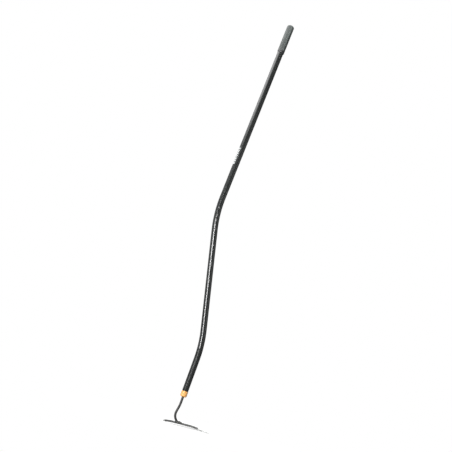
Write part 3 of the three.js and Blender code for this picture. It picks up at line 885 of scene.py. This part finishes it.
def flat_triangles(rim):
    """Triangulates the inside of a rim with a staggered grid: points, triangles, origins."""
    count = len(rim)
    near = np.array(rim)

    def inside(x, y):
        odd = False
        for k in range(count):
            x1, y1 = rim[k]
            x2, y2 = rim[k - 1]
            if (y1 > y) != (y2 > y) and x < (x2 - x1) * (y - y1) / (y2 - y1) + x1:
                odd = not odd
        return odd

    row_pitch, pitch, clearance = 2.1, 2.4, 1.3
    grid = []
    x, row = HEAD_REAR + 1.0, 0
    while x < HEAD_FRONT:
        y = -BLADE_HALF + (pitch / 2 if row % 2 else 0.0)
        while y < BLADE_HALF:
            if inside(x, y) and np.min(np.hypot(near[:, 0] - x, near[:, 1] - y)) > clearance:
                grid.append(Vector((x, y)))
            y += pitch
        x += row_pitch
        row += 1
    result = delaunay_2d_cdt([Vector(p) for p in rim] + grid, [], [list(range(count))], 1, 1e-7)
    return result[0], result[2], result[3]


def head_mesh():
    outline = head_outline()
    count = len(outline)
    inward = []
    for k in range(count):
        before, after = outline[k - 1], outline[(k + 1) % count]
        x, y = after[0] - before[0], after[1] - before[1]
        length = hypot(x, y)
        inward.append((-y / length, x / length))

    def edge_ring(angle, face_z, sign):
        """A ring on the rounded edge: angle 0 on the side, 90 degrees on the flat face."""
        points = []
        for (x, y), (in_x, in_y) in zip(outline, inward):
            radius = min(EDGE_ROUND, thickness(x) * 0.42)
            inset = radius * (1 - cos(angle))
            ring_x = min(x + in_x * inset, HEAD_FRONT)
            z = face_z(ring_x) + sign * radius * (1 - sin(angle))
            points.append((ring_x, y + in_y * inset, z))
        return points

    steps = 5
    rings = [edge_ring((1 - k / steps) * pi / 2, underside, 1) for k in range(steps + 1)]
    rings += [edge_ring(k / steps * pi / 2, upside, -1) for k in range(steps + 1)]
    wear = [0.0, 0.62] + [1.0] * (2 * steps - 2) + [0.62, 0.0]   # of each ring
    verts, faces, edge, index = [], [], [], []
    for points, side in zip(rings, wear):
        index.append(list(range(len(verts), len(verts) + count)))
        verts.extend(points)
        for x, _, _ in points:
            # wear grows along the blade's sides and towards the tine tips
            on_blade = 0.40 * clamp((x - 20.0) / 14.0)
            on_tine = clamp((-46.0 - x) / 5.0) * 0.50
            edge.append(side * max(on_blade, on_tine))
    for a, b in zip(index[:-1], index[1:]):
        faces += band(a, b)

    # lower and upper faces share one layout
    points, triangles, origins = flat_triangles([(x, y) for x, y, _ in rings[0]])
    for rim, face_z in ((index[0], underside), (index[-1], upside)):
        numbers = []
        for point, sources in zip(points, origins):
            on_rim = [k for k in sources if k < count]
            if on_rim:
                numbers.append(rim[on_rim[0]])
            else:
                numbers.append(len(verts))
                verts.append((point.x, point.y, face_z(point.x)))
                edge.append(0.0)
        for triangle in triangles:
            face = tuple(numbers[k] for k in triangle)
            if len(set(face)) == 3:
                faces.append(face)
    return new_object("head_plate_skin", verts, faces, crease=60, attrs={"edge": edge})


cover(head_mesh(), "head_plate",
      coated_steel("head_coat", bare_from=(GRIND_START - 0.2) * MM))


# ---------------------------------------------------------------- weld bead
def weld_mesh():
    """A ring of overlapping ripples round the slanted foot of the rod, widest towards +X."""
    half_y = ROD_R + GAP
    half_x = half_y / cos(radians(FOOT_ANGLE))
    # (share of the width outwards, share of the height)
    profile = [(0.0, 0.0), (0.0, 0.35), (0.05, 0.70), (0.16, 0.93), (0.30, 1.0), (0.46, 0.93),
               (0.62, 0.76), (0.77, 0.53), (0.89, 0.30), (0.97, 0.12), (1.0, 0.0), (0.5, 0.0)]
    rings = []
    for outwards, upwards in profile:
        points = []
        for a in angles(168):
            ripple = 0.5 + 0.5 * cos(26 * a + 1.6 * sin(2 * a))
            lump = 1 + 0.10 * ripple + 0.10 * noise.noise(Vector((cos(a) * 2, sin(a) * 2, 3.1)))
            ahead = 0.5 + 0.5 * cos(a)
            width = (2.4 + 6.8 * ahead ** 2) * lump
            height = ((2.2 + 3.3 * ahead ** 2) * (1 + 0.08 * ripple)
                      * (0.88 + 0.12 * abs(sin(a))))
            z = plate_top + upwards * height
            # the inner boundary follows the rod at this height
            inner = (rod_x(z) + half_x * cos(a), half_y * sin(a))
            outer = (rod_x(plate_top) + (half_x + width) * cos(a), (half_y + width) * sin(a))
            points.append((inner[0] + (outer[0] - inner[0]) * outwards,
                           inner[1] + (outer[1] - inner[1]) * outwards, z))
        rings.append(points)
    verts, faces = shell(rings)
    return new_object("weld_bead_skin", verts, faces, crease=80)


cover(weld_mesh(), "weld_bead", weld_metal())

# ---------------------------------------------------------------- pieces kept as they are
for node, material in (("retaining_pin", bright_steel()), ("tang_bushing", natural_plastic()),
                       ("end_plug", plastic)):
    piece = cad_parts[node]
    piece.data.materials.clear()
    piece.data.materials.append(material)
    piece["slot"] = material.name

# ---------------------------------------------------------------- floor
FLOOR_HALF = 6.0
WHITE = (1, 1, 1)
floor_z = cad_lo.z - 0.0002


def floor_material():
    """Takes soft shadows near the tool and fades to plain white further out."""
    material = bpy.data.materials.new("floor_white")
    graph = Graph(material, "ShaderNodeOutputMaterial")
    camera_ray = graph.is_camera_ray()
    position = graph.make("ShaderNodeNewGeometry", socket="Position")
    offset = graph.make("ShaderNodeVectorMath", (position, (0.03, 0.0, floor_z)),
                        operation="SUBTRACT")
    distance = graph.make("ShaderNodeVectorMath", (offset,), "Value", operation="LENGTH")
    far = graph.remap(distance, span=(0.10, 0.55), smooth=True)
    grey = graph.mix(camera_ray, low=(0.40, 0.40, 0.40), high=(0.30, 0.30, 0.30))
    diffuse = graph.make("ShaderNodeBsdfDiffuse", (grey,))
    lift = graph.make("ShaderNodeEmission", (WHITE, graph.times(camera_ray, by=0.72)))
    near_shader = graph.make("ShaderNodeAddShader", (diffuse, lift))
    far_shader = graph.make("ShaderNodeEmission", (WHITE, 1.0))
    shader = graph.make("ShaderNodeMixShader",
                        (graph.times(far, by=camera_ray), near_shader, far_shader))
    graph.put(graph.out.inputs[0], shader)
    return material


bm = bmesh.new()
for x, y in ((-1, -1), (1, -1), (1, 1), (-1, 1)):
    bm.verts.new((x * FLOOR_HALF, y * FLOOR_HALF, floor_z))
bm.faces.new(bm.verts)
floor_mesh = bpy.data.meshes.new("floor")
bm.to_mesh(floor_mesh)
bm.free()
floor = bpy.data.objects.new("floor", floor_mesh)
bpy.context.scene.collection.objects.link(floor)
floor_mesh.materials.append(floor_material())

# ---------------------------------------------------------------- world
ROOM_BASE = 0.10
# (direction, full within degrees, gone beyond degrees, added brightness)
ROOM_GLOWS = [
    ((-1, -0.25, 0.0), 40, 62, 0.72),
    ((0, 1, 0.08), 10, 24, 1.6),
    ((0, 0, 1), 30, 65, 0.3),
    ((1, -0.4, -0.1), 20, 60, 0.15),
]


def studio_world():
    """White to the camera, a dim room with soft glows to everything else."""
    world = bpy.data.worlds.new("studio")
    graph = Graph(world, "ShaderNodeOutputWorld")
    ray = graph.make("ShaderNodeTexCoord", socket="Generated")
    level = ROOM_BASE
    for direction, inner, outer, amount in ROOM_GLOWS:
        facing = graph.make("ShaderNodeVectorMath", (ray, Vector(direction).normalized()),
                            "Value", operation="DOT_PRODUCT")
        glow = graph.remap(facing, span=(cos(radians(outer)), cos(radians(inner))), smooth=True)
        level = graph.math("MULTIPLY_ADD", glow, amount, level)
    room = graph.make("ShaderNodeBackground", ((0.985, 1.0, 0.99), level))
    white = graph.make("ShaderNodeBackground", (WHITE, 1.0))
    shader = graph.make("ShaderNodeMixShader", (graph.is_camera_ray(), room, white))
    graph.put(graph.out.inputs[0], shader)
    return world


scene = bpy.context.scene
scene.world = studio_world()

# ---------------------------------------------------------------- lights
# (name, centre, point faced, width, height, radiance)
PANELS = [
    ("key_left_high", (-2.0, -0.54, 2.62), (0.0, -0.54, 2.50), 3.4, 1.72, 5.25),
    ("strip_left_front", (-0.85, -1.69, 0.72), (0.0, 0.0, 0.72), 0.42, 0.20, 47.0),
    ("strip_left_low", (-0.85, -1.69, 0.36), (0.0, 0.0, 0.36), 0.42, 0.52, 40.5),
    ("strip_head", (-0.36, -1.86, 0.825), (0.0, 0.0, 0.825), 0.34, 0.085, 90.0),
    ("fill_front_high", (-0.4, -2.0, 3.4), (0.0, 0.0, 0.8), 1.6, 1.6, 15.0),
    ("strip_grip", (1.30, -1.50, 2.03), (0.0, 0.0, 1.45), 0.42, 0.24, 14.0),
    ("fill_right", (2.0, -0.7, 0.82), (0.0, 0.0, 0.82), 0.7, 0.80, 1.5),
]
for name, centre, target, width, height, radiance in PANELS:
    light = bpy.data.lights.new(name, "AREA")
    light.shape = "RECTANGLE"
    light.size, light.size_y = width, height
    light.energy = radiance * pi * width * height
    lamp = bpy.data.objects.new(name, light)
    scene.collection.objects.link(lamp)
    lamp.location = centre
    lamp.rotation_mode = "QUATERNION"
    lamp.rotation_quaternion = (Vector(target) - Vector(centre)).to_track_quat("-Z", "Y")

# ---------------------------------------------------------------- camera
# on the -Y side, low, looking slightly up, and rolled
CAMERA_AT = Vector((-0.019, -4.5, 0.2772))
CAMERA_AIM = Vector((-0.01241, 0.0, 0.72788))
CAMERA_ROLL = radians(14.472)

lens = bpy.data.cameras.new("camera")
lens.sensor_fit = "HORIZONTAL"
lens.sensor_width = 36.0
lens.lens = 99.39823
lens.clip_start, lens.clip_end = 0.01, 100
camera = bpy.data.objects.new("camera", lens)
scene.collection.objects.link(camera)
forward = (CAMERA_AIM - CAMERA_AT).normalized()
level_right = forward.cross(Vector((0, 0, 1))).normalized()
level_up = level_right.cross(forward)
right = level_right * cos(CAMERA_ROLL) + level_up * sin(CAMERA_ROLL)
up = level_up * cos(CAMERA_ROLL) - level_right * sin(CAMERA_ROLL)
pose = Matrix((right, up, -forward)).transposed().to_4x4()
pose.translation = CAMERA_AT
camera.matrix_world = pose
scene.camera = camera

scene.view_settings.view_transform = "Standard"
scene.view_settings.look = "None"
scene.view_settings.exposure = 0.0
scene.view_settings.gamma = 1.0
